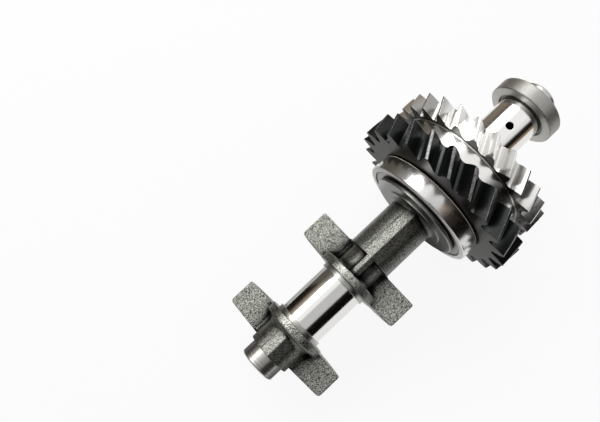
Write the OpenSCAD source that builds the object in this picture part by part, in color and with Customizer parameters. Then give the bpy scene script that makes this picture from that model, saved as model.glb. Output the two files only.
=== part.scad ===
// Engine balance shaft: a cast shaft with two half-disc counterweights, a shielded
// ball bearing, two helical gears and a pressed-on thrust collar.
// It lies as it comes to rest: on two teeth of the driven gear and the edge of the
// front counterweight, with the flat faces of the counterweights up. Millimetres.

/* [Journals] */
// Diameter of both ground journals
journal_d = 24; // [20:0.5:24.5]
// Length of the journal between the counterweights
front_journal_l = 27; // [20:0.5:40]
// Length of the journal between the gears and the thrust collar
rear_journal_l = 33.4; // [26:0.2:45]
// Diameter of the turned shoulder at each end of the front journal
shoulder_d = 25.8; // [25:0.2:30]
// Length of that shoulder
shoulder_l = 2.3; // [1:0.1:4]

/* [Stubs] */
// Diameter of the turned stub at each end
stub_d = 19; // [14:0.5:19.5]
// Length of the front stub
front_stub_l = 8; // [5:0.5:20]
// Length of the end stub beyond the thrust collar
end_stub_l = 7.4; // [4:0.1:20]
// Chamfer on the front stub's edge
front_chamfer = 0.6; // [0.2:0.1:1.5]
// Chamfer on the end stub's edge
end_chamfer = 1.2; // [0.2:0.1:2]

/* [Counterweights] */
// Radius of the half-discs
weight_r = 32.3; // [28:0.1:38]
// Thickness of the front counterweight
front_weight_t = 14.2; // [8:0.2:17]
// Thickness of the rear counterweight
rear_weight_t = 15.6; // [10:0.2:17]
// Distance of the flat faces below the shaft's axis
chord_drop = 6; // [3:0.2:8]
// Rounding of the half-discs' front edges
weight_edge_r = 1.8; // [0.6:0.1:3]
// Rounding of the half-discs' rear edges
weight_rear_edge_r = 1; // [0.4:0.1:3]
// Casting draft of the front counterweight's front face
weight_draft = 1.2; // [0.2:0.1:2]
// Radius of the fillet behind the rear counterweight
weight_cove_r = 4; // [2:0.2:5]

/* [Cast hubs] */
// Diameter of the front hub
hub_d = 22.8; // [21:0.2:25]
// Length of the front hub, from the stub to the cast flange
hub_l = 14.5; // [12:0.5:20]
// Distance of the front counterweight behind the hub's front face
front_weight_setback = 2.8; // [1:0.2:4]
// Diameter of the cast flange beside each end of the front journal
flange_d = 33; // [30:0.5:38]
// Thickness of that flange
flange_t = 4.2; // [3:0.1:6]
// Rounding of each flange's cast edge
flange_edge_r = 1; // [0.4:0.1:1.4]
// Step from the cast flange to the counterweight's face beside it
flange_step = 1.4; // [0.4:0.1:2.2]
// Radius of the fillets from the hubs up to the flat faces of the counterweights
foot_r = 3; // [1.5:0.1:3.6]
// Height of the parting ridge above the hub or neck
ridge_rise = 1.1; // [0.4:0.1:2]
// Diameter of the waist between the rear flange and the neck
waist_d = 19.6; // [17:0.2:21]
// Length of the waist
waist_l = 11.7; // [8:0.1:14]
// Fillet at both ends of the waist
waist_cove_r = 2.2; // [1:0.1:2.4]
// Width of the rib that carries the ridge across the waist
rib_w = 4.4; // [3:0.2:7]

/* [Neck] */
// Diameter of the cast neck
neck_d = 24.6; // [22:0.2:27]
// Length of the neck, from the waist to the locating flange
neck_l = 30.1; // [20:0.1:45]
// Radius of the fillet where the neck meets the locating flange
neck_fillet_r = 2.2; // [1:0.1:3]

/* [Locating flange] */
// Diameter of the raised ring around the neck
raised_d = 34; // [32:0.5:36]
// Height of that ring
raised_h = 0.5; // [0.2:0.1:1.5]
// Diameter of the locating flange
locating_d = 49; // [44:0.5:52]
// Thickness of the locating flange
locating_t = 1.6; // [1.2:0.1:5]
// Rounding of the flange's front edge
locating_edge_r = 0.5; // [0.2:0.1:1]
// Diameter of the spigot that bears on the bearing's inner ring
spigot_d = 41; // [38:0.5:43]
// Length of that spigot
spigot_l = 0.4; // [0.3:0.1:3]

/* [Bearing] */
// Outer diameter of the ball bearing
bearing_od = 62; // [60:0.5:66]
// Bore of the ball bearing
bearing_bore = 35; // [33:0.5:36]
// Width of the ball bearing
bearing_w = 9; // [8.6:0.1:12]
// Radial space between the two rings beside the balls
land_space = 4.1; // [3.8:0.1:4.4]
// How far the seat of each shield goes into the outer ring
shield_seat_in = 1.8; // [1.2:0.1:2.2]
// Depth of that seat from the side of the ring
shield_seat_depth = 0.9; // [0.7:0.05:1.1]
// Thickness of a shield
shield_t = 0.5; // [0.3:0.05:0.6]
// Rounding of the rings' edges
ring_edge_r = 0.9; // [0.4:0.1:1.2]
// Ball diameter
ball_d = 5.556; // [5:0.01:5.7]
// Number of balls
ball_count = 14; // [9:1:16]
// Width of the cage
cage_w = 4.6; // [4.3:0.1:4.9]

/* [Driven gear] */
// Number of teeth
driven_teeth = 23; // [19:1:27]
// Normal module
driven_module = 3.2; // [3:0.05:3.4]
// Face width
driven_face = 12.4; // [8:0.2:20]
// Bore of the driven gear
driven_bore = 34; // [30:0.5:34.5]
// Angle of a tooth at the front face from the counterweights' upward normal
driven_phase = 2.8; // [0:0.1:15]
// Height of the boss that bears on the bearing's inner ring
driven_boss_h = 0.5; // [0.4:0.1:2]
// Width of a tooth's top land, measured across the axis
driven_land = 1.5; // [0.8:0.1:2.4]

/* [Transfer gear] */
// Number of teeth
transfer_teeth = 25; // [21:1:29]
// Normal module
transfer_module = 2.75; // [2.6:0.05:2.9]
// Face width
transfer_face = 9.8; // [7:0.2:16]
// Bore of the transfer gear
transfer_bore = 33; // [29:0.5:33.5]
// Angle of a tooth at the front face from the counterweights' upward normal
transfer_phase = 7.8; // [0:0.1:14]
// Diameter of the ground hub in front of the teeth
transfer_hub_d = 70.2; // [60:0.2:70.6]
// Length of that hub
transfer_hub_l = 8.6; // [5:0.2:14]
// Width of the undercut between hub and teeth
undercut_w = 0.7; // [0.4:0.1:1.2]
// Depth of that undercut
undercut_depth = 0.6; // [0.3:0.1:1.5]
// Width of a tooth's top land, measured across the axis
transfer_land = 0.9; // [0.6:0.1:2]

/* [Teeth] */
// Helix angle of both gears
helix_angle = 31; // [15:1:34]
// Normal pressure angle
pressure_angle = 24; // [18:0.5:25]
// Height of a tooth above the pitch circle, in modules
addendum = 1; // [0.9:0.05:1.05]
// Depth of a tooth below the pitch circle, in modules
dedendum = 1.25; // [1.1:0.05:1.3]

/* [Thrust collar] */
// Diameter of the collar
collar_d = 36.4; // [32:0.2:44]
// Thickness of the collar
collar_t = 7.7; // [4:0.1:12]
// How far the collar's seat stands above the end stub, on the radius
collar_seat_rise = 0.5; // [0.3:0.1:1]
// Chamfer on the collar's outer edges
collar_chamfer = 0.5; // [0.2:0.1:1.5]
// Width of the grinding relief around the journal
relief_w = 1.4; // [0.4:0.1:2]
// Depth of that relief
relief_depth = 0.7; // [0.3:0.1:1.5]

/* [Oil hole] */
// Diameter of the oil hole in the rear journal
oil_d = 4; // [2:0.5:6]
// Distance of the oil hole from the thrust collar
oil_from_collar = 13.1; // [8:0.1:20]

/* [Fits] */
// Radial clearance of the pressed pieces on their seats
press_gap = 0.005; // [0:0.005:0.02]
// Clearance between a ball and its races
race_gap = 0.1; // [0.05:0.01:0.15]
// Clearance between a ball and its pocket in the cage
pocket_gap = 0.2; // [0.1:0.05:0.25]
// Clearance between the cage and the rings
cage_gap = 0.5; // [0.3:0.05:0.7]
// Clearance between a shield and the inner ring
shield_gap = 0.3; // [0.2:0.05:0.5]

/* [Hidden] */
$fn = 96;

// Overlap that joins the solids of one piece
weld = 0.2;
// Depth by which a fillet's curve dips below the faces that it blends
bite = 0.08;

// Places along the axis, from the end of the front stub
hub_x = front_stub_l;
front_flange_x = hub_x + hub_l;
front_shoulder_x = front_flange_x + flange_t;
front_journal_x = front_shoulder_x + shoulder_l;
rear_shoulder_x = front_journal_x + front_journal_l;
rear_flange_x = rear_shoulder_x + shoulder_l;
waist_x = rear_flange_x + flange_t;
neck_x = waist_x + waist_l;
raised_x = neck_x + neck_l;
locating_x = raised_x + raised_h;
spigot_x = locating_x + locating_t;
bearing_x = spigot_x + spigot_l;
driven_boss_x = bearing_x + bearing_w;
driven_x = driven_boss_x + driven_boss_h;
transfer_hub_x = driven_x + driven_face;
transfer_x = transfer_hub_x + transfer_hub_l;
rear_journal_x = transfer_x + transfer_face;
collar_x = rear_journal_x + rear_journal_l;
end_stub_x = collar_x + collar_t;
shaft_l = end_stub_x + end_stub_l;
front_weight_x = hub_x + front_weight_setback;
front_weight_end = min(front_weight_x + front_weight_t, front_shoulder_x - flange_step);
rear_weight_x = rear_flange_x + flange_step;
oil_x = collar_x - oil_from_collar;

// Radii used in several places
journal_r = journal_d / 2;
hub_r = hub_d / 2;
flange_r = flange_d / 2;
waist_r = waist_d / 2;
neck_r = neck_d / 2;
stub_r = stub_d / 2;
collar_seat_r = stub_r + collar_seat_rise;
ball_r = ball_d / 2;
pitch_r = (bearing_bore + bearing_od) / 4;
inner_land_d = 2 * pitch_r - land_space;
outer_land_d = 2 * pitch_r + land_space;
shield_seat_d = outer_land_d + 2 * shield_seat_in;
front_cove_r = flange_r - hub_r - flange_edge_r;

// Gear sizes in the plane across the axis
function pitch_radius(teeth, module_n) = teeth * module_n / cos(helix_angle) / 2;
function tip_radius(teeth, module_n) = pitch_radius(teeth, module_n) + addendum * module_n;
function root_radius(teeth, module_n) = pitch_radius(teeth, module_n) - dedendum * module_n;
function involute(angle) = tan(angle) * 180 / PI - angle;

// Rest: two teeth of the driven gear and the rounded edge of the front counterweight touch z = 0
tooth_pitch = 360 / driven_teeth;
rest_roll = driven_phase + (180 % tooth_pitch) - tooth_pitch / 2;
gear_support_r = tip_radius(driven_teeth, driven_module) * cos(tooth_pitch / 2);
support_rise = gear_support_r - weight_r + weight_edge_r;
support_run = driven_x - front_weight_x - weight_edge_r;
rest_tilt = atan2(support_rise, support_run) - asin(weight_edge_r / norm([support_rise, support_run]));
rest_lift = gear_support_r * cos(rest_tilt) - driven_x * sin(rest_tilt);
front_reach = -(stub_r - front_chamfer) * sin(rest_tilt);
end_reach = shaft_l * cos(rest_tilt) + (stub_r - end_chamfer) * sin(rest_tilt);
rest_shift = -(front_reach + end_reach) / 2;

// Tilts and rolls a piece from the shaft's own axis to its place at rest
module at_rest()
  translate([rest_shift, 0, rest_lift])
    rotate([0, -rest_tilt, 0])
      rotate([rest_roll, 0, 0])
        children();

// Turns a profile of radius and place along the axis into a solid of revolution
module turned()
  rotate([0, 90, 0])
    rotate_extrude()
      children();

// Plain round bar along the axis
module bar(r, x, l)
  translate([x, 0, 0])
    rotate([0, 90, 0])
      cylinder(r = r, h = l);

// Extrudes a section drawn across the axis, its first coordinate sideways and its second up
module along(x, l)
  translate([x, 0, 0])
    rotate([90, 0, 90])
      linear_extrude(l)
        children();

// Quarter-round fillet in a turned profile, in the corner at radius r and place x
module cove_profile(r, x, size, side)
  difference() {
    translate([r - weld, side > 0 ? x - weld : x - size])
      square([size + weld, size + weld]);
    translate([r + size - bite, x + side * (size - bite)])
      circle(size);
  }

// Cylinder with a chamfered end, for the stubs
module stub_profile(x, l, chamfer, side)
  polygon(side < 0
    ? [[0, x], [stub_r - chamfer, x], [stub_r, x + chamfer], [stub_r, x + l], [0, x + l]]
    : [[0, x], [stub_r, x], [stub_r, x + l - chamfer], [stub_r - chamfer, x + l], [0, x + l]]);

// Half-disc below the flat face, with rounded outer edges and a drafted front face
module counterweight(x, t, draft)
  intersection() {
    turned() {
      translate([0, x])
        polygon([
          [0, -draft], [journal_r, -draft], [weight_r - weight_edge_r, 0],
          [weight_r - weight_edge_r, weight_edge_r], [weight_r, weight_edge_r],
          [weight_r, t - weight_rear_edge_r], [weight_r - weight_rear_edge_r, t - weight_rear_edge_r],
          [weight_r - weight_rear_edge_r, t], [0, t]
        ]);
      translate([weight_r - weight_edge_r, x + weight_edge_r])
        circle(weight_edge_r);
      translate([weight_r - weight_rear_edge_r, x + t - weight_rear_edge_r])
        circle(weight_rear_edge_r);
    }
    below_chord();
  }

// Everything below the flat faces of the counterweights
module below_chord()
  translate([-weld, -2 * weight_r, -2 * weight_r - chord_drop])
    cube([shaft_l, 4 * weight_r, 2 * weight_r]);

// Fillets from both sides of a round hub to the flat face it stands on
module foot(r, x, l) {
  middle_z = foot_r - chord_drop - bite;
  reach = sqrt(pow(r + foot_r - bite, 2) - pow(middle_z, 2));
  along(x, l)
    difference() {
      polygon([
        [0, 0], [reach, middle_z], [reach, -chord_drop - weld],
        [-reach, -chord_drop - weld], [-reach, middle_z]
      ]);
      for (side = [-1, 1])
        translate([side * reach, middle_z])
          circle(foot_r);
    }
}

// Slope of the roof below the parting ridge: it meets the round a little above a tangent
function ridge_slope(r) = 0.9 * tan(acos(r / (r + ridge_rise)));

// Half-width of the roof, to just inside the round
function ridge_foot(r) = r * sin(acos(r / (r + ridge_rise)));

// Roof that rises to the parting ridge on the top and bottom of a round section
module ridge(r, x, l) {
  drop = ridge_slope(r) * ridge_foot(r);
  along(x, l)
    for (turn = [0, 180])
      rotate(turn)
        polygon([
          [0, 0], [ridge_foot(r), r + ridge_rise - drop],
          [0, r + ridge_rise], [-ridge_foot(r), r + ridge_rise - drop]
        ]);
}

// Rib that carries the ridge across the waist
module waist_rib() {
  edge_z = neck_r + ridge_rise - rib_w / 2 * ridge_slope(neck_r);
  along(waist_x - weld, waist_l + 2 * weld)
    polygon([[-rib_w / 2, 0], [rib_w / 2, 0], [rib_w / 2, edge_z], [0, neck_r + ridge_rise], [-rib_w / 2, edge_z]]);
}

// Flange beside the journal, rounded on its cast edge: in front or behind
module flange(x, side)
  turned() {
    translate([0, x])
      polygon(side < 0
        ? [
          [0, 0], [flange_r - flange_edge_r, 0], [flange_r - flange_edge_r, flange_edge_r],
          [flange_r, flange_edge_r], [flange_r, flange_t], [0, flange_t]
        ]
        : [
          [0, 0], [flange_r, 0], [flange_r, flange_t - flange_edge_r],
          [flange_r - flange_edge_r, flange_t - flange_edge_r], [flange_r - flange_edge_r, flange_t], [0, flange_t]
        ]);
    translate([flange_r - flange_edge_r, x + (side < 0 ? flange_edge_r : flange_t - flange_edge_r)])
      circle(flange_edge_r);
  }

// Cast part of the shaft: hubs, flanges, waist and neck
module casting() {
  bar(hub_r, hub_x, hub_l + weld);
  ridge(hub_r, hub_x, hub_l - front_cove_r / 2);
  flange(front_flange_x, -1);
  flange(rear_flange_x, 1);
  bar(waist_r, waist_x - weld, waist_l + 2 * weld);
  waist_rib();
  bar(neck_r, neck_x, neck_l + weld);
  ridge(neck_r, neck_x, neck_l + weld);
  turned() {
    cove_profile(hub_r, front_flange_x, front_cove_r, -1);
    cove_profile(waist_r, waist_x, waist_cove_r, 1);
    cove_profile(waist_r, neck_x, waist_cove_r, -1);
    cove_profile(neck_r, raised_x, neck_fillet_r, -1);
  }
  counterweight(front_weight_x, front_weight_end - front_weight_x, weight_draft);
  counterweight(rear_weight_x, rear_weight_t, 0);
  foot(hub_r, front_weight_x, front_flange_x - front_weight_x);
  foot(waist_r, waist_x, rear_weight_x + rear_weight_t - waist_x);
  intersection() {
    turned() {
      cove_profile(hub_r, front_weight_x - weight_draft, front_weight_setback - weight_draft, -1);
      cove_profile(neck_r, rear_weight_x + rear_weight_t, weight_cove_r, 1);
    }
    below_chord();
  }
}

// Machined part of the shaft: stubs, shoulders, journals, locating flange and gear seats
module machining() {
  turned() {
    stub_profile(0, front_stub_l + weld, front_chamfer, -1);
    stub_profile(end_stub_x - weld, end_stub_l + weld, end_chamfer, 1);
    translate([0, locating_x])
      square([locating_d / 2 - locating_edge_r, locating_t]);
    translate([0, locating_x + locating_edge_r])
      square([locating_d / 2, locating_t - locating_edge_r]);
    translate([locating_d / 2 - locating_edge_r, locating_x + locating_edge_r])
      circle(locating_edge_r);
  }
  bar(shoulder_d / 2, front_shoulder_x - weld, shoulder_l + weld);
  bar(journal_r, front_journal_x - weld, front_journal_l + 2 * weld);
  bar(shoulder_d / 2, rear_shoulder_x, shoulder_l + weld);
  bar(raised_d / 2, raised_x, raised_h + weld);
  bar(spigot_d / 2, spigot_x - weld, spigot_l + weld);
  bar(bearing_bore / 2, bearing_x - weld, bearing_w + weld);
  bar(driven_bore / 2, driven_boss_x - weld, driven_boss_h + driven_face + weld);
  bar(transfer_bore / 2, transfer_hub_x - weld, transfer_hub_l + transfer_face + weld);
  bar(journal_r, rear_journal_x - weld, rear_journal_l + weld);
  bar(collar_seat_r, collar_x - weld, collar_t + weld);
}

// The whole shaft, cast in one piece and machined, with its oil hole
module shaft()
  color("dimgray")
    at_rest()
      difference() {
        union() {
          casting();
          machining();
        }
        translate([oil_x, 0, 0])
          cylinder(d = oil_d, h = journal_d);
      }

// Ring of the bearing with rounded edges, between two radii
module race_ring(inner_r, outer_r)
  translate([0, bearing_x]) {
    translate([inner_r + ring_edge_r, 0])
      square([outer_r - inner_r - 2 * ring_edge_r, bearing_w]);
    translate([inner_r, ring_edge_r])
      square([outer_r - inner_r, bearing_w - 2 * ring_edge_r]);
    for (r = [inner_r + ring_edge_r, outer_r - ring_edge_r])
      for (x = [ring_edge_r, bearing_w - ring_edge_r])
        translate([r, x])
          circle(ring_edge_r);
  }

// Groove in which the balls run
module ball_groove()
  translate([pitch_r, bearing_x + bearing_w / 2])
    circle(ball_r + race_gap);

module bearing_inner_ring()
  color("silver")
    at_rest()
      turned()
        difference() {
          race_ring(bearing_bore / 2 + press_gap, inner_land_d / 2);
          ball_groove();
        }

module bearing_outer_ring()
  color("gainsboro")
    at_rest()
      turned()
        difference() {
          race_ring(outer_land_d / 2 - ring_edge_r, bearing_od / 2);
          translate([0, bearing_x])
            square([outer_land_d / 2, bearing_w]);
          translate([0, bearing_x - weld])
            square([shield_seat_d / 2, shield_seat_depth + weld]);
          translate([0, bearing_x + bearing_w - shield_seat_depth])
            square([shield_seat_d / 2, shield_seat_depth + weld]);
          ball_groove();
        }

// Places one child at each ball
module at_balls()
  translate([bearing_x + bearing_w / 2, 0, 0])
    for (i = [0 : ball_count - 1])
      rotate([i * 360 / ball_count, 0, 0])
        translate([0, 0, pitch_r])
          children();

module bearing_balls()
  color("silver")
    at_rest()
      at_balls()
        sphere(ball_r);

// Crown cage: a ring with a round pocket for each ball, open to the rear
module bearing_cage()
  color("peru")
    at_rest()
      difference() {
        turned()
          translate([inner_land_d / 2 + cage_gap, bearing_x + shield_seat_depth + cage_gap / 2])
            square([(outer_land_d - inner_land_d) / 2 - 2 * cage_gap, cage_w]);
        at_balls()
          sphere(ball_r + pocket_gap);
      }

// Pressed shield, seated on the bottom of its recess in the outer ring
module shield(x)
  at_rest()
    turned()
      translate([inner_land_d / 2 + shield_gap, x])
        square([shield_seat_d / 2 - press_gap - inner_land_d / 2 - shield_gap, shield_t]);

module bearing_front_shield()
  color("gray")
    shield(bearing_x + shield_seat_depth - shield_t);

module bearing_rear_shield()
  color("gray")
    shield(bearing_x + bearing_w - shield_seat_depth);

// Section of a gear: involute flanks, round-bottomed spaces
module gear_section(teeth, module_n, land) {
  pitch_r = pitch_radius(teeth, module_n);
  tip_r = tip_radius(teeth, module_n);
  root_r = root_radius(teeth, module_n);
  face_pressure = atan(tan(pressure_angle) / cos(helix_angle));
  base_r = pitch_r * cos(face_pressure);
  start_r = max(base_r, root_r + 0.3 * module_n);
  flank_steps = 4;
  root_half = 180 / teeth * 0.86;
  tip_half = land / 2 / tip_r * 180 / PI;
  half_angle = function (r) tip_half + involute(acos(base_r / tip_r)) - involute(acos(base_r / r));
  flank = [for (i = [0 : flank_steps]) start_r + (tip_r - start_r) * i / flank_steps];
  polygon([
    for (tooth = [0 : teeth - 1])
      let (middle = tooth * 360 / teeth)
        for (p = concat(
          [[root_r, -root_half]],
          [for (r = flank) [r, -half_angle(r)]],
          [for (i = [flank_steps : -1 : 0]) [flank[i], half_angle(flank[i])]],
          [[root_r, root_half]]
        ))
          p[0] * [cos(middle + p[1]), sin(middle + p[1])]
  ]);
}

// Helical toothed disc with a tooth at the given angle from the top of its front face
module toothed_disc(teeth, module_n, land, face, phase, x)
  translate([x, 0, 0])
    rotate([0, 90, 0])
      rotate([0, 0, 180 - phase])
        linear_extrude(
          height = face,
          twist = face * tan(helix_angle) / pitch_radius(teeth, module_n) * 180 / PI,
          slices = 5
        )
          gear_section(teeth, module_n, land);

module driven_gear()
  color([0.13, 0.13, 0.14])
    at_rest()
      difference() {
        union() {
          toothed_disc(driven_teeth, driven_module, driven_land, driven_face, driven_phase, driven_x);
          bar(spigot_d / 2, driven_boss_x, driven_boss_h + weld);
        }
        bar(driven_bore / 2 + press_gap, driven_boss_x - weld, driven_boss_h + driven_face + 2 * weld);
      }

module transfer_gear()
  color("lightgray")
    at_rest()
      difference() {
        union() {
          toothed_disc(transfer_teeth, transfer_module, transfer_land, transfer_face, transfer_phase, transfer_x);
          bar(transfer_hub_d / 2, transfer_hub_x, transfer_hub_l - undercut_w);
          bar(transfer_hub_d / 2 - undercut_depth, transfer_hub_x, transfer_hub_l + weld);
        }
        bar(transfer_bore / 2 + press_gap, transfer_hub_x - weld, transfer_hub_l + transfer_face + 2 * weld);
      }

module thrust_collar()
  color("darkgray")
    at_rest()
      turned()
        difference() {
          translate([0, collar_x])
            polygon([
              [collar_seat_r + press_gap, 0], [collar_d / 2 - collar_chamfer, 0], [collar_d / 2, collar_chamfer],
              [collar_d / 2, collar_t - collar_chamfer], [collar_d / 2 - collar_chamfer, collar_t],
              [collar_seat_r + press_gap, collar_t]
            ]);
          translate([journal_r, collar_x - weld])
            square([relief_w, relief_depth + weld]);
        }

shaft();
bearing_inner_ring();
bearing_outer_ring();
bearing_balls();
bearing_cage();
bearing_front_shield();
bearing_rear_shield();
driven_gear();
transfer_gear();
thrust_collar();
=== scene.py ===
import math

import bmesh
import bpy
from mathutils import Matrix, Vector


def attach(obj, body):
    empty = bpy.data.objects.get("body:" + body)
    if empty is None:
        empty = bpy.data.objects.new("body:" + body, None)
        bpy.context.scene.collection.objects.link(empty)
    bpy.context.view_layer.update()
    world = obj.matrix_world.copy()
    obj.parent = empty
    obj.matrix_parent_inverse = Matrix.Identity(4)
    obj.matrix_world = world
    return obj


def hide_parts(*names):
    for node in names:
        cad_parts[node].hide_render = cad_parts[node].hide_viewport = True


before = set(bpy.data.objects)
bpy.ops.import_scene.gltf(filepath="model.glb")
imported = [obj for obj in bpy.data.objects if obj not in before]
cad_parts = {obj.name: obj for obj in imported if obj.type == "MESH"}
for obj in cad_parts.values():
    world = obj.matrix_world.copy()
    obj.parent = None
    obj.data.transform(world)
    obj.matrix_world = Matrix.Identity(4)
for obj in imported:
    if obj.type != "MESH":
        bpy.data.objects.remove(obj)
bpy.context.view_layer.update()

# Where the shaft lies: its front end, and how it is rolled and tilted at rest.
SHAFT_FRONT = (-0.0969567, 0.0, 0.0304357)
SHAFT_TURN = (math.radians(2.8), math.radians(-7.3561), 0.0)
MM = 0.001

# Zones along the axis, in millimetres from the front end. Sockets 1 and 2 take the middle and the half length.
FRONT_CASTING = {1: 17.35, 2: 9.4}
REAR_CASTING = {1: 81.25, 2: 23.0}
FRONT_FLANGE = {1: 24.6, 2: 2.1}
REAR_FLANGE = {1: 60.4, 2: 2.1}
FRONT_JOURNAL = {1: 42.5, 2: 13.5}
REAR_JOURNAL = {1: 163.5, 2: 17.0}
LOCATING_FLANGE = {1: 105.4, 2: 1.2}
OIL_HOLE = {1: 167.4, 2: 2.2}
# The height of the counterweights' flat faces over the axis, in the same way.
FLAT_FACES = {1: -6.0, 2: 0.6}

# Places along the axis, in millimetres, just inside the face or edge that each one sets apart.
RING_FRONT_FACE = 106.95
RING_REAR_EDGE = 115.1
DARK_GEAR_FRONT = 116.36
BRIGHT_TEETH_FRONT = 137.42
BRIGHT_GEAR_REAR = 147.04

# Distances out from the axis, in millimetres. Sockets 1 and 2 take where a change starts and ends.
BELOW_JOURNAL = 11.9
PAST_HUB = {1: 12.8, 2: 14.5}
COUNTERWEIGHT_RIM = {1: 17.0, 2: 18.5}
COLLAR_OUTSIDE = {1: 17.5, 2: 18.0}
SHIELD_SEAT = {1: 27.1, 2: 27.4}
RING_OUTSIDE = 30.1
BRIGHT_HUB_EDGE = {1: 35.1, 2: 35.3}
BRIGHT_TEETH_FOOT = 35.3
DARK_TOOTH_TIPS = {1: 45.85, 2: 46.0}
# The heights over the axis between which the tops of the cast flanges take painted light, in the same way.
FLANGE_PAINTED_LIGHT = {1: 13.0, 2: 16.0}


def colour(code):
    """Linear colour of an sRGB hex value."""
    parts = [int(code[i:i + 2], 16) / 255 for i in (0, 2, 4)]
    return tuple(p / 12.92 if p <= 0.04045 else ((p + 0.055) / 1.055) ** 2.4 for p in parts) + (1.0,)


def add(tree, kind, inputs=None, **settings):
    """Adds a shader node, gives it its settings, and sets or links its inputs."""
    node = tree.nodes.new("ShaderNode" + kind)
    for name, value in settings.items():
        setattr(node, name, value)
    for socket, value in (inputs or {}).items():
        if isinstance(value, bpy.types.NodeSocket):
            tree.links.new(value, node.inputs[socket])
        else:
            node.inputs[socket].default_value = value
    return node


def new_finish(name):
    """Empty material and its tree."""
    material = bpy.data.materials.new(name)
    material.use_nodes = True
    material.node_tree.nodes.clear()
    return material, material.node_tree


def shaft_places(tree):
    """Places on the shaft in millimetres: as a vector, along the axis from the front end, and out from the axis."""
    place = add(tree, "Mapping", {
        "Vector": add(tree, "TexCoord").outputs["Object"],
        "Location": SHAFT_FRONT, "Rotation": SHAFT_TURN, "Scale": (MM, MM, MM),
    }, vector_type="TEXTURE").outputs[0]
    along = add(tree, "SeparateXYZ", {0: place}).outputs["X"]
    across = add(tree, "VectorMath", {0: place, 1: (0, 1, 1)}, operation="MULTIPLY").outputs[0]
    out = add(tree, "VectorMath", {0: across}, operation="LENGTH").outputs["Value"]
    return place, along, out


def tool_marks(tree, along, out, pitch_mm):
    """Rings that a tool or a wheel leaves round the axis, on rounds and on faces alike."""
    sweep = add(tree, "Math", {0: along, 1: out}, operation="ADD").outputs[0]
    return add(tree, "TexNoise", {"W": sweep, "Scale": 1 / pitch_mm, "Detail": 3.0, "Roughness": 0.6},
               noise_dimensions="1D").outputs[0]


def fine_relief(tree, height, strength, depth_mm, rounding, samples=4):
    """Softened edges with a fine relief over them."""
    soft_edge = add(tree, "Bevel", {"Radius": rounding}, samples=samples).outputs[0]
    return add(tree, "Bump", {
        "Strength": strength, "Distance": depth_mm * MM, "Height": height, "Normal": soft_edge}).outputs[0]


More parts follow.
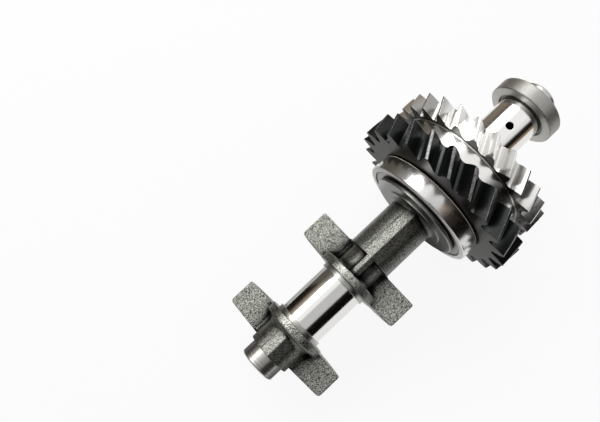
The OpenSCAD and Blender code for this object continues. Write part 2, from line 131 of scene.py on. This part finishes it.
def shaft_iron():
    """Nodular cast iron: shot-blasted grey skin with grit, black scale and painted shade in the corners, painted
    light on the flats, and ground journals like mirrors.
    """
    material, tree = new_finish("nodular_cast_iron_shot_blasted_and_ground")
    place, along, out = shaft_places(tree)
    up = add(tree, "SeparateXYZ", {0: place}).outputs["Z"]
    front_casting = add(tree, "Math", {0: along, **FRONT_CASTING}, operation="COMPARE").outputs[0]
    rear_casting = add(tree, "Math", {0: along, **REAR_CASTING}, operation="COMPARE").outputs[0]
    cast = add(tree, "Math", {0: front_casting, 1: rear_casting}, operation="MAXIMUM").outputs[0]

    # Blasted skin: grit of about 0.4 mm over soft lumps of about 5 mm.
    grit = add(tree, "TexNoise", {
        "Vector": place, "Scale": 1 / 0.36, "Detail": 2.0, "Roughness": 0.6}).outputs[0]
    lumps = add(tree, "TexNoise", {"Vector": place, "Scale": 1 / 5.0, "Detail": 2.0}).outputs[0]
    speckle = add(tree, "MapRange", {0: grit, 1: 0.42, 2: 0.60}).outputs[0]
    skin = add(tree, "Mix", {0: speckle, 6: colour("1e1d1b"), 7: colour("ecede3")}, data_type="RGBA").outputs[2]
    # Black casting scale in the fillets, and painted shade: ambient occlusion darkens the fillets, the pockets and
    # the places crowded by the flanges and the bearing.
    fillet_scale_and_shade = add(tree, "AmbientOcclusion", {"Distance": 6 * MM}, samples=16, only_local=True).outputs["AO"]
    fillet_scale_and_shade = add(tree, "MapRange", {0: fillet_scale_and_shade, 1: 0.66, 2: 0.90, 3: 0.01, 4: 1.0},
                 interpolation_type="SMOOTHSTEP").outputs[0]
    painted_crowded_shade = add(tree, "AmbientOcclusion", {"Distance": 13 * MM}, samples=16).outputs["AO"]
    painted_crowded_shade = add(tree, "MapRange", {0: painted_crowded_shade, 1: 0.46, 2: 0.9, 3: 0.15, 4: 1.0}).outputs[0]
    scale_and_painted_shade = add(tree, "Math", {0: fillet_scale_and_shade, 1: painted_crowded_shade}, operation="MULTIPLY").outputs[0]
    skin = add(tree, "Mix", {0: 1.0, 6: skin, 7: scale_and_painted_shade}, data_type="RGBA", blend_type="MULTIPLY").outputs[2]

    # Painted light on the counterweight flats and rims, painted shade on the hubs and the neck; the flats and rims
    # are also rougher.
    rim = add(tree, "MapRange", {0: out, **COUNTERWEIGHT_RIM}).outputs[0]
    flat = add(tree, "Math", {0: up, **FLAT_FACES}, operation="COMPARE").outputs[0]
    past_hub = add(tree, "MapRange", {0: out, **PAST_HUB}).outputs[0]
    flat = add(tree, "Math", {0: flat, 1: past_hub}, operation="MULTIPLY").outputs[0]
    rough_and_painted_lit = add(tree, "Math", {0: rim, 1: flat}, operation="MAXIMUM").outputs[0]
    matt = add(tree, "MapRange", {0: rough_and_painted_lit, 3: 0.3, 4: 0.52}).outputs[0]
    # The tops of the two cast flanges are painted lighter too: painted light.
    front_flange = add(tree, "Math", {0: along, **FRONT_FLANGE}, operation="COMPARE").outputs[0]
    rear_flange = add(tree, "Math", {0: along, **REAR_FLANGE}, operation="COMPARE").outputs[0]
    flanges = add(tree, "Math", {0: front_flange, 1: rear_flange}, operation="MAXIMUM").outputs[0]
    painted_top_light = add(tree, "MapRange", {0: up, **FLANGE_PAINTED_LIGHT}).outputs[0]
    painted_lit_flange_tops = add(tree, "Math", {0: flanges, 1: painted_top_light}, operation="MULTIPLY").outputs[0]
    painted_lit_faces = add(tree, "Math", {0: rough_and_painted_lit, 1: painted_lit_flange_tops}, operation="MAXIMUM").outputs[0]
    painted_light_share = add(tree, "MapRange", {0: painted_lit_faces, 3: 0.52, 4: 1.0}).outputs[0]
    skin = add(tree, "Mix", {0: 1.0, 6: skin, 7: painted_light_share}, data_type="RGBA", blend_type="MULTIPLY").outputs[2]

    # Machined rounds: mirror-ground journals, and satin stubs with the lines of the turning tool.
    front_journal = add(tree, "Math", {0: along, **FRONT_JOURNAL}, operation="COMPARE").outputs[0]
    rear_journal = add(tree, "Math", {0: along, **REAR_JOURNAL}, operation="COMPARE").outputs[0]
    journal = add(tree, "Math", {0: front_journal, 1: rear_journal}, operation="MAXIMUM").outputs[0]
    polish = add(tree, "Mix", {0: journal, 2: 0.31, 3: 0.13}, data_type="FLOAT").outputs[0]
    feed = tool_marks(tree, along, out, 0.8)
    turned_and_painted_highlight = add(tree, "Mix", {0: feed, 6: colour("8e8d89"), 7: colour("e0dfda")}, data_type="RGBA").outputs[2]
    bright = add(tree, "Mix", {0: journal, 6: turned_and_painted_highlight, 7: colour("ebeae8")}, data_type="RGBA").outputs[2]
    # The polished flange is a darker steel grey, and the oil drilling is painted near-black: painted shade inside
    # the hole.
    flange = add(tree, "Math", {0: along, **LOCATING_FLANGE}, operation="COMPARE").outputs[0]
    bright = add(tree, "Mix", {0: flange, 6: bright, 7: colour("9c9d99")}, data_type="RGBA").outputs[2]
    at_hole = add(tree, "Math", {0: along, **OIL_HOLE}, operation="COMPARE").outputs[0]
    below = add(tree, "Math", {0: out, 1: BELOW_JOURNAL}, operation="LESS_THAN").outputs[0]
    painted_hole_shade = add(tree, "Math", {0: at_hole, 1: below}, operation="MULTIPLY").outputs[0]
    bright = add(tree, "Mix", {0: painted_hole_shade, 6: bright, 7: colour("080706")}, data_type="RGBA").outputs[2]

    base = add(tree, "Mix", {0: cast, 6: bright, 7: skin}, data_type="RGBA").outputs[2]
    metal = add(tree, "Mix", {0: cast, 2: 1.0, 3: 0.9}, data_type="FLOAT").outputs[0]
    rough = add(tree, "Mix", {0: cast, 2: polish, 3: matt}, data_type="FLOAT").outputs[0]
    blasted = add(tree, "Math", {0: grit, 1: lumps}, operation="ADD").outputs[0]
    ground = add(tree, "Math", {0: tool_marks(tree, along, out, 0.35), 1: 0.004}, operation="MULTIPLY").outputs[0]
    height = add(tree, "Mix", {0: cast, 2: ground, 3: blasted}, data_type="FLOAT").outputs[0]
    rounding = add(tree, "Mix", {0: cast, 2: 0.35 * MM, 3: 0.9 * MM}, data_type="FLOAT").outputs[0]
    shader = add(tree, "BsdfPrincipled", {
        "Base Color": base, "Metallic": metal, "Roughness": rough,
        "Normal": fine_relief(tree, height, 0.6, 0.17, rounding, samples=6)})
    add(tree, "OutputMaterial", {"Surface": shader.outputs[0]})
    return material


def bearing_steel():
    """Chromium bearing steel, ground and honed: a bright mirror with very fine rings."""
    material, tree = new_finish("bearing_steel_ground")
    _, along, out = shaft_places(tree)
    marks = tool_marks(tree, along, out, 0.3)
    # A thin, warm, near-white line is painted on the rear outer edge, rough and barely metallic: a painted
    # highlight.
    behind = add(tree, "Math", {0: along, 1: RING_REAR_EDGE}, operation="GREATER_THAN").outputs[0]
    outside = add(tree, "Math", {0: out, 1: RING_OUTSIDE}, operation="GREATER_THAN").outputs[0]
    turned_and_painted_highlight = add(tree, "Math", {0: behind, 1: outside}, operation="MULTIPLY").outputs[0]
    base = add(tree, "Mix", {0: turned_and_painted_highlight, 6: colour("e2e1df"), 7: colour("fdf4de")}, data_type="RGBA").outputs[2]
    metal = add(tree, "Mix", {0: turned_and_painted_highlight, 2: 1.0, 3: 0.05}, data_type="FLOAT").outputs[0]
    polish = add(tree, "Mix", {0: turned_and_painted_highlight, 2: 0.2, 3: 0.6}, data_type="FLOAT").outputs[0]
    # The front faces are ground matt.
    front_face = add(tree, "Math", {0: along, 1: RING_FRONT_FACE}, operation="LESS_THAN").outputs[0]
    polish = add(tree, "Mix", {0: front_face, 2: polish, 3: 0.55}, data_type="FLOAT").outputs[0]
    shader = add(tree, "BsdfPrincipled", {
        "Base Color": base, "Metallic": metal, "Roughness": polish,
        "Normal": fine_relief(tree, marks, 0.1, 0.01, 0.4 * MM)})
    add(tree, "OutputMaterial", {"Surface": shader.outputs[0]})
    return material


def shield_steel():
    """Pressed sheet steel: satin grey with faint rings from the press tool."""
    material, tree = new_finish("sheet_steel_pressed")
    _, along, out = shaft_places(tree)
    marks = tool_marks(tree, along, out, 0.5)
    base = add(tree, "Mix", {0: marks, 6: colour("6b6a66"), 7: colour("8d8b87")}, data_type="RGBA").outputs[2]
    # A dark line is painted round the seat of the shield: painted shade in its groove.
    painted_seat_shade = add(tree, "MapRange", {0: out, **SHIELD_SEAT}).outputs[0]
    base = add(tree, "Mix", {0: painted_seat_shade, 6: base, 7: colour("1c1b1a")}, data_type="RGBA").outputs[2]
    shader = add(tree, "BsdfPrincipled", {"Base Color": base, "Metallic": 1.0, "Roughness": 0.3})
    add(tree, "OutputMaterial", {"Surface": shader.outputs[0]})
    return material


def cage_brass():
    """Machined brass: warm yellow with a soft shine."""
    material, tree = new_finish("brass_machined")
    _, along, out = shaft_places(tree)
    marks = tool_marks(tree, along, out, 0.4)
    base = add(tree, "Mix", {0: marks, 6: colour("9c7a3a"), 7: colour("c9a85e")}, data_type="RGBA").outputs[2]
    shader = add(tree, "BsdfPrincipled", {"Base Color": base, "Metallic": 1.0, "Roughness": 0.3})
    add(tree, "OutputMaterial", {"Surface": shader.outputs[0]})
    return material


def dark_gear_steel():
    """Case-hardened steel with a manganese phosphate coat: satin black, worn grey on the tooth tips."""
    material, tree = new_finish("gear_steel_phosphated")
    place, along, out = shaft_places(tree)
    grain = add(tree, "TexNoise", {
        "Vector": place, "Scale": 1 / 0.7, "Detail": 3.0, "Roughness": 0.6}).outputs[0]
    coat = add(tree, "Mix", {0: grain, 6: colour("2c2e2e"), 7: colour("4c4e4e")}, data_type="RGBA").outputs[2]
    worn = add(tree, "MapRange", {0: grain, 1: 0.35, 2: 0.65}).outputs[0]
    worn = add(tree, "Mix", {0: worn, 6: colour("444545"), 7: colour("8f8f8d")}, data_type="RGBA").outputs[2]
    tip = add(tree, "MapRange", {0: out, **DARK_TOOTH_TIPS}).outputs[0]
    base = add(tree, "Mix", {0: tip, 6: coat, 7: worn}, data_type="RGBA").outputs[2]
    # The turned front face has a thinner coat.
    front_face = add(tree, "Math", {0: along, 1: DARK_GEAR_FRONT}, operation="LESS_THAN").outputs[0]
    base = add(tree, "Mix", {0: front_face, 6: base, 7: colour("454543")}, data_type="RGBA").outputs[2]
    shader = add(tree, "BsdfPrincipled", {
        "Base Color": base, "Metallic": 0.95, "Roughness": 0.29, "Specular Tint": colour("d8d8d8"),
        "Normal": fine_relief(tree, grain, 0.25, 0.03, 0.3 * MM)})
    add(tree, "OutputMaterial", {"Surface": shader.outputs[0]})
    return material


def bright_gear_steel():
    """Ground gear steel: bright flanks and a mirror hub, with fine grinding lines."""
    material, tree = new_finish("gear_steel_ground")
    _, along, out = shaft_places(tree)
    marks = tool_marks(tree, along, out, 0.3)
    # The ground flanks are bright, and the front ends of the teeth are painted dark: a painted dark reflection of
    # the shaded floor and the dark gear beside them.
    in_front = add(tree, "Math", {0: along, 1: BRIGHT_TEETH_FRONT}, operation="LESS_THAN").outputs[0]
    past_hub = add(tree, "Math", {0: out, 1: BRIGHT_TEETH_FOOT}, operation="GREATER_THAN").outputs[0]
    painted_dark_tooth_ends = add(tree, "Math", {0: in_front, 1: past_hub}, operation="MULTIPLY").outputs[0]
    base = add(tree, "Mix", {0: painted_dark_tooth_ends, 6: colour("ebeae7"), 7: colour("484847")}, data_type="RGBA").outputs[2]
    polish = add(tree, "MapRange", {0: out, **BRIGHT_HUB_EDGE, 3: 0.2, 4: 0.23}).outputs[0]
    # The rear face is turned: a satin, darker grey.
    behind = add(tree, "Math", {0: along, 1: BRIGHT_GEAR_REAR}, operation="GREATER_THAN").outputs[0]
    base = add(tree, "Mix", {0: behind, 6: base, 7: colour("9b9a97")}, data_type="RGBA").outputs[2]
    polish = add(tree, "Mix", {0: behind, 2: polish, 3: 0.38}, data_type="FLOAT").outputs[0]
    shader = add(tree, "BsdfPrincipled", {
        "Base Color": base, "Metallic": 1.0, "Roughness": polish,
        "Normal": fine_relief(tree, marks, 0.15, 0.02, 0.25 * MM)})
    add(tree, "OutputMaterial", {"Surface": shader.outputs[0]})
    return material


def collar_steel():
    """Turned steel ring: matt warm grey with fine feed marks."""
    material, tree = new_finish("collar_steel_turned")
    place, along, out = shaft_places(tree)
    marks = tool_marks(tree, along, out, 0.25)
    grain = add(tree, "TexNoise", {"Vector": place, "Scale": 1 / 0.6, "Detail": 2.0}).outputs[0]
    wear = add(tree, "Math", {0: marks, 1: grain}, operation="MULTIPLY").outputs[0]
    wear = add(tree, "MapRange", {0: wear, 1: 0.12, 2: 0.4}).outputs[0]
    base = add(tree, "Mix", {0: wear, 6: colour("b0aea9"), 7: colour("d9d7d2")}, data_type="RGBA").outputs[2]
    # The outside is painted darker than the faces: painted shade.
    outside = add(tree, "MapRange", {0: out, **COLLAR_OUTSIDE, 3: 1.0, 4: 0.62}).outputs[0]
    base = add(tree, "Mix", {0: 1.0, 6: base, 7: outside}, data_type="RGBA", blend_type="MULTIPLY").outputs[2]
    # Ambient occlusion darkens the corner round the journal: painted shade.
    painted_corner_shade = add(tree, "AmbientOcclusion", {"Distance": 4.5 * MM}, samples=16).outputs["AO"]
    painted_corner_shade = add(tree, "MapRange", {0: painted_corner_shade, 1: 0.4, 2: 0.85, 3: 0.2, 4: 1.0}).outputs[0]
    base = add(tree, "Mix", {0: 1.0, 6: base, 7: painted_corner_shade}, data_type="RGBA", blend_type="MULTIPLY").outputs[2]
    shader = add(tree, "BsdfPrincipled", {
        "Base Color": base, "Metallic": 1.0, "Roughness": 0.45,
        "Normal": fine_relief(tree, marks, 0.3, 0.03, 0.4 * MM)})
    add(tree, "OutputMaterial", {"Surface": shader.outputs[0]})
    return material


def dress(material, *names):
    """Puts a material in every slot of the named CAD nodes."""
    for name in names:
        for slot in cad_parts[name].material_slots:
            slot.material = material


def smooth_teeth(node, body, material):
    """The gear's own solid, merged, with its curved flanks and rounds shaded smooth up to their sharp edges."""
    shape = bmesh.new()
    shape.from_mesh(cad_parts[node].data)
    bmesh.ops.remove_doubles(shape, verts=shape.verts, dist=0.002 * MM)
    for edge in shape.edges:
        edge.smooth = edge.calc_face_angle(math.pi) < math.radians(24)
    for face in shape.faces:
        face.smooth = True
        face.material_index = 0
    mesh = bpy.data.meshes.new(node + "_teeth")
    shape.to_mesh(mesh)
    shape.free()
    mesh.materials.append(material)
    gear = bpy.data.objects.new(node + "_teeth", mesh)
    bpy.context.scene.collection.objects.link(gear)
    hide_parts(node)
    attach(gear, body)


def sheet_of(name, width, length, place, turn):
    """Flat sheet of the studio, with its place in its mesh."""
    shape = bmesh.new()
    bmesh.ops.create_grid(shape, x_segments=1, y_segments=1, size=0.5)
    bmesh.ops.scale(shape, vec=(width, length, 1), verts=shape.verts)
    bmesh.ops.transform(shape, matrix=Matrix.Translation(place) @ turn, verts=shape.verts)
    mesh = bpy.data.meshes.new(name)
    shape.to_mesh(mesh)
    shape.free()
    sheet = bpy.data.objects.new(name, mesh)
    bpy.context.scene.collection.objects.link(sheet)
    return sheet


def seen_background(tree, straight, mirrored):
    """How much of the plain background a ray gets: straight from the eye, or by way of metal or glass."""
    path = add(tree, "LightPath").outputs
    bounced = add(tree, "Math", {0: path["Is Glossy Ray"], 1: path["Is Transmission Ray"]},
                  operation="MAXIMUM").outputs[0]
    bounced = add(tree, "Math", {0: bounced, 1: mirrored}, operation="MULTIPLY").outputs[0]
    return add(tree, "Math", {0: path["Is Camera Ray"], 1: straight, 2: bounced},
               operation="MULTIPLY_ADD").outputs[0]


def paper_floor():
    """Matt white paper: nearly white to the eye, with the soft shadow kept."""
    material, tree = new_finish("paper_matt_white")
    paper = add(tree, "BsdfDiffuse", {"Color": colour("f2f2f2")})
    glow = add(tree, "Emission", {"Color": colour("ffffff"), "Strength": 1.0})
    shader = add(tree, "MixShader", {
        0: seen_background(tree, 0.9, 0.8), 1: paper.outputs[0], 2: glow.outputs[0]})
    add(tree, "OutputMaterial", {"Surface": shader.outputs[0]})
    return material


def studio_card(name, foot, top, place, turn, width, height):
    """Card that glows only in polished metal, a painted reflection, shaded from its foot to its top, each a height
    and a shade.
    """
    material, tree = new_finish(name)
    up = add(tree, "SeparateXYZ", {0: add(tree, "TexCoord").outputs["Object"]}).outputs["Z"]
    rise = add(tree, "MapRange", {0: up, 1: foot[0], 2: top[0]}, interpolation_type="SMOOTHSTEP").outputs[0]
    shade = add(tree, "Mix", {0: rise, 6: colour(foot[1]), 7: colour(top[1])}, data_type="RGBA").outputs[2]
    shader = add(tree, "Emission", {"Color": shade, "Strength": 1.0})
    add(tree, "OutputMaterial", {"Surface": shader.outputs[0]})
    card = sheet_of("studio_" + name, width, height, place, turn)
    card.data.materials.append(material)
    card.visible_camera = card.visible_diffuse = card.visible_shadow = card.visible_transmission = False


dress(shaft_iron(), "shaft")
dress(bearing_steel(), "bearing_inner_ring", "bearing_outer_ring", "bearing_balls")
dress(shield_steel(), "bearing_front_shield", "bearing_rear_shield")
dress(cage_brass(), "bearing_cage")
smooth_teeth("driven_gear", "rotor", dark_gear_steel())
smooth_teeth("transfer_gear", "rotor", bright_gear_steel())
dress(collar_steel(), "thrust_collar")

UPRIGHT = Matrix.Rotation(math.pi / 2, 4, "X")
FLAT = Matrix.Identity(4)
ENDWAYS = Matrix.Rotation(math.pi / 2, 4, "Z") @ UPRIGHT
floor = sheet_of("studio_floor", 4.0, 4.0, (0, 0, 0), FLAT)
floor.data.materials.append(paper_floor())

# Every card is a painted reflection that glows only in polished metal: the dark ones stand in for shade, the pale
# ones for light.
# Cards with two shades: name, foot and top, middle, turn, width and height.
SHADED_CARDS = (
    ("card_dark_side", (0.30, "0c0908"), (0.37, "c8c8c8"), (-0.26, -0.24, 0.2225), UPRIGHT, 0.78, 0.355),
    ("card_dark_side_rear", (0.20, "16110e"), (0.29, "f0f0f0"), (0.29, -0.24, 0.2225), UPRIGHT, 0.32, 0.355),
    ("card_brown_rear", (0.075, "8a7862"), (0.125, "16110e"), (0.29, -0.238, 0.085), UPRIGHT, 0.32, 0.08),
    ("card_brown_side", (0.045, "1c1510"), (0.105, "b0a490"), (0.05, 0.088, 0.0525), UPRIGHT, 1.4, 0.105),
    ("card_brown_gears", (0.05, "5c5850"), (0.13, "82807a"), (0.015, 0.086, 0.065), UPRIGHT, 0.13, 0.13),
    ("card_brown_end", (0.06, "80766a"), (0.10, "5c5248"), (0.15, 0.086, 0.0525), UPRIGHT, 0.13, 0.105),
    ("card_brown_collar", (0.06, "80766a"), (0.13, "8a8074"), (0.159, 0.085, 0.065), UPRIGHT, 0.082, 0.13),
    ("card_brown_ring", (0.12, "2a2320"), (0.23, "b0a090"), (0.0125, -0.065, 0.1675), UPRIGHT, 0.055, 0.135),
    ("card_white_back", (0.17, "f6f6f6"), (0.27, "808080"), (0.7, -0.2, 0.2), ENDWAYS, 1.4, 0.4),
    ("card_front_end", (0.10, "181716"), (0.30, "c8c8c8"), (-0.5, 0.0, 0.15), ENDWAYS, 0.9, 0.30),
)
# Cards of one shade: name, shade, middle, turn, width and height.
PLAIN_CARDS = (
    ("card_under_flange_left", "bfbfbf", (0.003, 0.013, 0.0006), FLAT, 0.030, 0.026),
    ("card_under_flange_right", "3e3e3e", (0.003, -0.0135, 0.0006), FLAT, 0.030, 0.027),
    ("card_under_ring_left", "f4f4f4", (0.003, 0.043, 0.0006), FLAT, 0.030, 0.034),
    ("card_under_ring_right", "e4e4e4", (0.003, -0.0435, 0.0006), FLAT, 0.030, 0.033),
    ("card_black_flag", "181614", (-0.104, -0.0525, 0.066), FLAT, 0.052, 0.065),
    ("card_floor_left", "b4b4b4", (-0.075, 0.050, 0.0004), FLAT, 0.21, 0.06),
    ("card_floor_left_end", "707070", (-0.0975, 0.050, 0.0006), FLAT, 0.065, 0.06),
    ("card_floor_right_end", "787878", (-0.105, -0.13, 0.0004), FLAT, 0.05, 0.22),
    ("card_floor_right", "242424", (0.015, -0.17, 0.0004), FLAT, 0.06, 0.14),
    ("card_grey_top", "c9c9c9", (-0.35, -0.195, 0.62), FLAT, 0.9, 0.51),
    ("card_dark_front", "060606", (-0.28, -0.2275, 0.36), ENDWAYS, 0.445, 0.32),
)
for card in SHADED_CARDS:
    studio_card(*card)
for name, shade, *where in PLAIN_CARDS:
    studio_card(name, (0.0, shade), (1.0, shade), *where)

world = bpy.data.worlds.new("studio")
bpy.context.scene.world = world
world.use_nodes = True
sky = world.node_tree
sky.nodes.clear()
room = add(sky, "Background", {"Color": colour("ffffff"), "Strength": 0.4})
backdrop = add(sky, "Background", {"Color": colour("ffffff"), "Strength": 1.0})
mixed = add(sky, "MixShader", {
    0: seen_background(sky, 0.94, 1.0), 1: room.outputs[0], 2: backdrop.outputs[0]})
add(sky, "OutputWorld", {"Surface": mixed.outputs[0]})

LAMP_TARGET = Vector((0, 0, 0.03))
key = bpy.data.lights.new("key_softbox", "AREA")
key.shape = "RECTANGLE"
key.size = 1.2
key.size_y = 0.4
key.energy = 4.0
key_lamp = bpy.data.objects.new("key_softbox", key)
bpy.context.scene.collection.objects.link(key_lamp)
key_lamp.location = (0.10, 0.45, 0.52)
key_lamp.rotation_euler = (LAMP_TARGET - key_lamp.location).to_track_quat("-Z", "Y").to_euler()

# The camera's place and directions are fitted to the outlines of the part in the photograph.
CAMERA_PLACE = (-0.0909844, -0.0074461, 0.3106186)
CAMERA_RIGHT = Vector((0.73217617, -0.67990616, 0.04056688))
CAMERA_UP = Vector((0.64743368, 0.71323165, 0.26857073))
camera = bpy.data.cameras.new("camera")
camera.sensor_width = 36.0
camera.lens = 33.804
camera.clip_start = 0.01
viewer = bpy.data.objects.new("camera", camera)
bpy.context.scene.collection.objects.link(viewer)
camera_turn = Matrix((CAMERA_RIGHT, CAMERA_UP, CAMERA_RIGHT.cross(CAMERA_UP))).transposed().to_4x4()
viewer.matrix_world = Matrix.Translation(CAMERA_PLACE) @ camera_turn
bpy.context.scene.camera = viewer

bpy.context.scene.view_settings.view_transform = "Standard"
